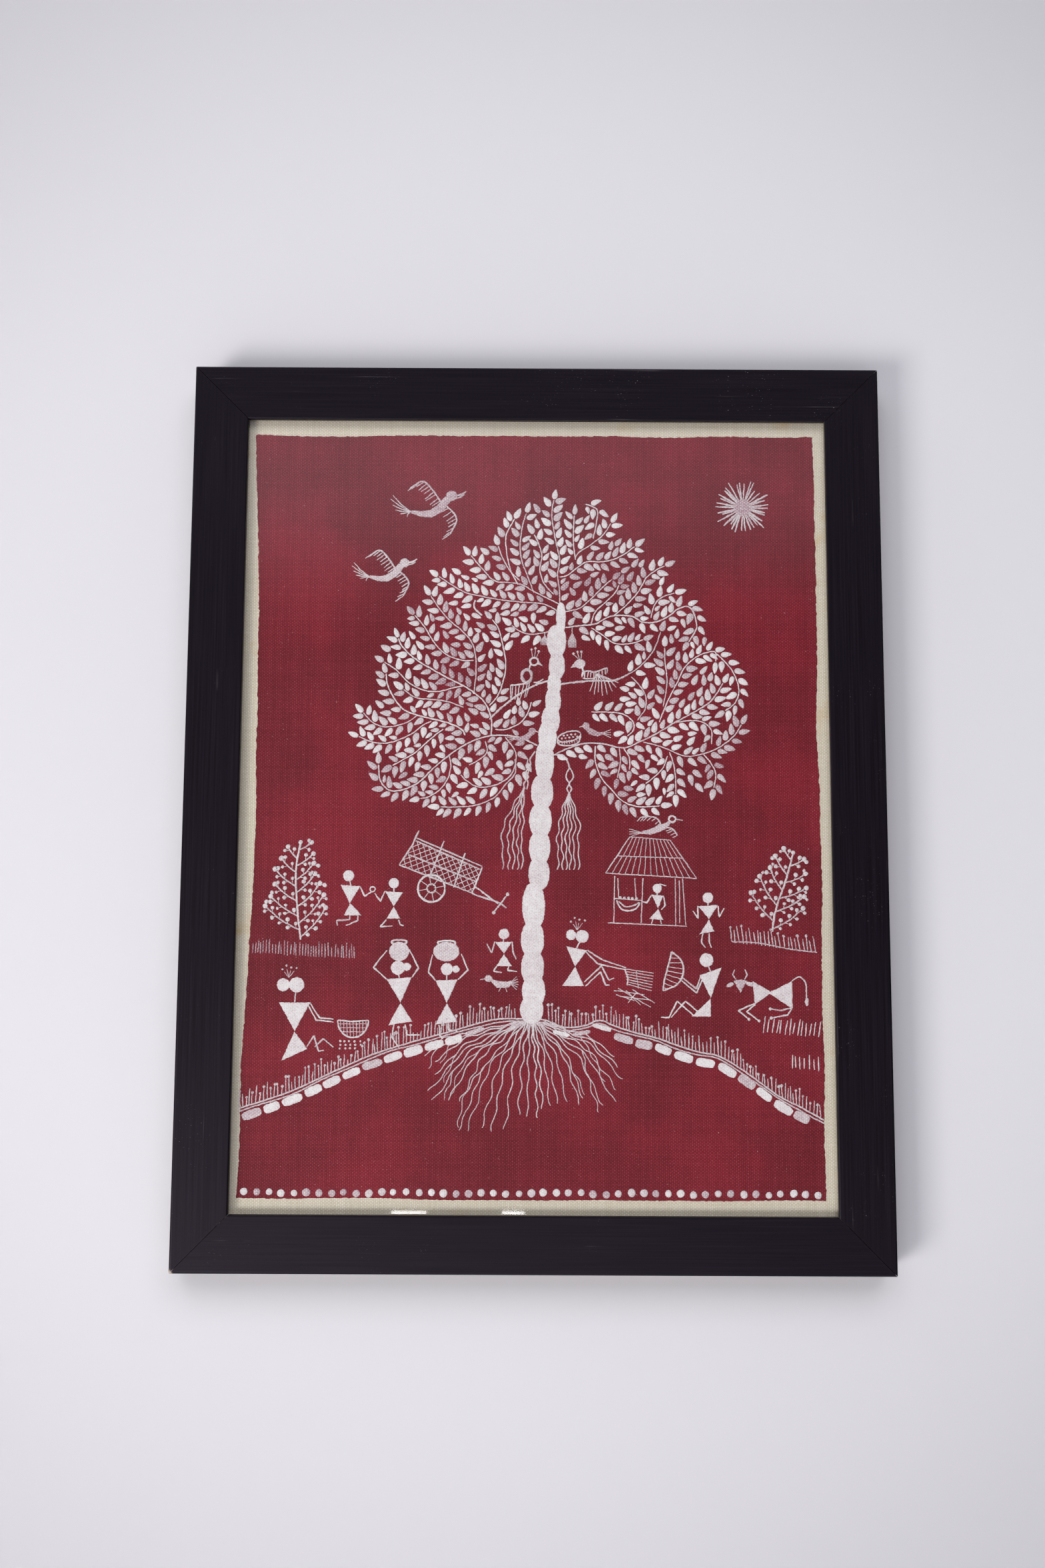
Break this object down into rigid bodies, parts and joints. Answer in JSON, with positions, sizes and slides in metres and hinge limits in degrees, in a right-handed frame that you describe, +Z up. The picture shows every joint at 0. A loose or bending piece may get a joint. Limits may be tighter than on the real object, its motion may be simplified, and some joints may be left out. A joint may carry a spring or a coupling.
{
  "type": "framed painted cloth",
  "caption": "Upright black picture frame holding a painted folk cloth of a tree of life under glass, with a clipped back and ring hangers.",
  "frame": {"origin": "on the back face of the top rail, halfway along it and halfway across the rail", "axes": "+Z up along the long side, +Y from the picture through the back to the wall, +X to the right as the picture is looked at"},
  "size_m": [0.3478, 0.0228, 0.4493],
  "materials": {
    "black_rail": "satin black stain on straight-grained wood, with fine lines along each rail and rubbed corners",
    "glass": "clear polished float glass",
    "painted_cloth": "plain-woven cotton with a dark red painted ground and white brush painting, raw cloth margin",
    "white_board": "matt cream mount board",
    "corrugated_board": "brown double-wall corrugated card",
    "hardboard": "brown hardboard, smooth face out, with fine fibres",
    "zinc_plate": "bright zinc-plated pressed steel",
    "screw_steel": "zinc-plated steel screw",
    "nail_steel": "plain steel corner nail",
    "bumper_rubber": "soft black rubber"
  },
  "bodies": {
    "frame": {"rail_top": "black_rail", "turn_button_screw_top_1": "screw_steel", "turn_button_screw_top_2": "screw_steel", "rail_right": "black_rail", "turn_button_screw_right_1": "screw_steel", "turn_button_screw_right_2": "screw_steel", "rail_bottom": "black_rail", "turn_button_screw_bottom_1": "screw_steel", "turn_button_screw_bottom_2": "screw_steel", "rail_left": "black_rail", "turn_button_screw_left_1": "screw_steel", "turn_button_screw_left_2": "screw_steel", "glass_pane": "glass", "painted_cloth": "painted_cloth", "mount_board": "white_board", "filler_board": "corrugated_board", "backing_board": "hardboard", "corner_nail_top_right_1": "nail_steel", "corner_nail_top_right_2": "nail_steel", "corner_nail_bottom_right_1": "nail_steel", "corner_nail_bottom_right_2": "nail_steel", "corner_nail_bottom_left_1": "nail_steel", "corner_nail_bottom_left_2": "nail_steel", "corner_nail_top_left_1": "nail_steel", "corner_nail_top_left_2": "nail_steel", "hanger_strap_left": "zinc_plate", "hanger_screw_left_1": "screw_steel", "hanger_screw_left_2": "screw_steel", "hanger_strap_right": "zinc_plate", "hanger_screw_right_1": "screw_steel", "hanger_screw_right_2": "screw_steel", "wall_bumper_left": "bumper_rubber", "wall_bumper_right": "bumper_rubber"},
    "turn_button_top_1": {"turn_button_top_1": "zinc_plate"},
    "turn_button_top_2": {"turn_button_top_2": "zinc_plate"},
    "turn_button_right_1": {"turn_button_right_1": "zinc_plate"},
    "turn_button_right_2": {"turn_button_right_2": "zinc_plate"},
    "turn_button_bottom_1": {"turn_button_bottom_1": "zinc_plate"},
    "turn_button_bottom_2": {"turn_button_bottom_2": "zinc_plate"},
    "turn_button_left_1": {"turn_button_left_1": "zinc_plate"},
    "turn_button_left_2": {"turn_button_left_2": "zinc_plate"},
    "hanger_ring_left": {"hanger_ring_left": "zinc_plate"},
    "hanger_ring_right": {"hanger_ring_right": "zinc_plate"}
  },
  "joints": [
    {"name": "turn_button_top_1_turn", "type": "hinge", "parent": "frame", "child": "turn_button_top_1", "pos_m": [-0.072, 0.0002, -0.00095], "axis": [0, 1, 0], "range_deg": [-90, 90]},
    {"name": "turn_button_top_2_turn", "type": "hinge", "parent": "frame", "child": "turn_button_top_2", "pos_m": [0.072, 0.0002, -0.00095], "axis": [0, 1, 0], "range_deg": [-90, 90]},
    {"name": "turn_button_right_1_turn", "type": "hinge", "parent": "frame", "child": "turn_button_right_1", "pos_m": [0.1592, 0.0002, -0.14495], "axis": [0, 1, 0], "range_deg": [-90, 90]},
    {"name": "turn_button_right_2_turn", "type": "hinge", "parent": "frame", "child": "turn_button_right_2", "pos_m": [0.1592, 0.0002, -0.27695], "axis": [0, 1, 0], "range_deg": [-90, 90]},
    {"name": "turn_button_bottom_1_turn", "type": "hinge", "parent": "frame", "child": "turn_button_bottom_1", "pos_m": [0.072, 0.0002, -0.42095], "axis": [0, 1, 0], "range_deg": [-90, 90]},
    {"name": "turn_button_bottom_2_turn", "type": "hinge", "parent": "frame", "child": "turn_button_bottom_2", "pos_m": [-0.072, 0.0002, -0.42095], "axis": [0, 1, 0], "range_deg": [-90, 90]},
    {"name": "turn_button_left_1_turn", "type": "hinge", "parent": "frame", "child": "turn_button_left_1", "pos_m": [-0.1592, 0.0002, -0.27695], "axis": [0, 1, 0], "range_deg": [-90, 90]},
    {"name": "turn_button_left_2_turn", "type": "hinge", "parent": "frame", "child": "turn_button_left_2", "pos_m": [-0.1592, 0.0002, -0.14495], "axis": [0, 1, 0], "range_deg": [-90, 90]},
    {"name": "hanger_ring_left_swing", "type": "hinge", "parent": "frame", "child": "hanger_ring_left", "pos_m": [-0.16355, 0.00225, -0.07895], "axis": [1, 0, 0], "range_deg": [0, 175]},
    {"name": "hanger_ring_right_swing", "type": "hinge", "parent": "frame", "child": "hanger_ring_right", "pos_m": [0.16355, 0.00225, -0.07895], "axis": [1, 0, 0], "range_deg": [0, 175]}
  ]
}
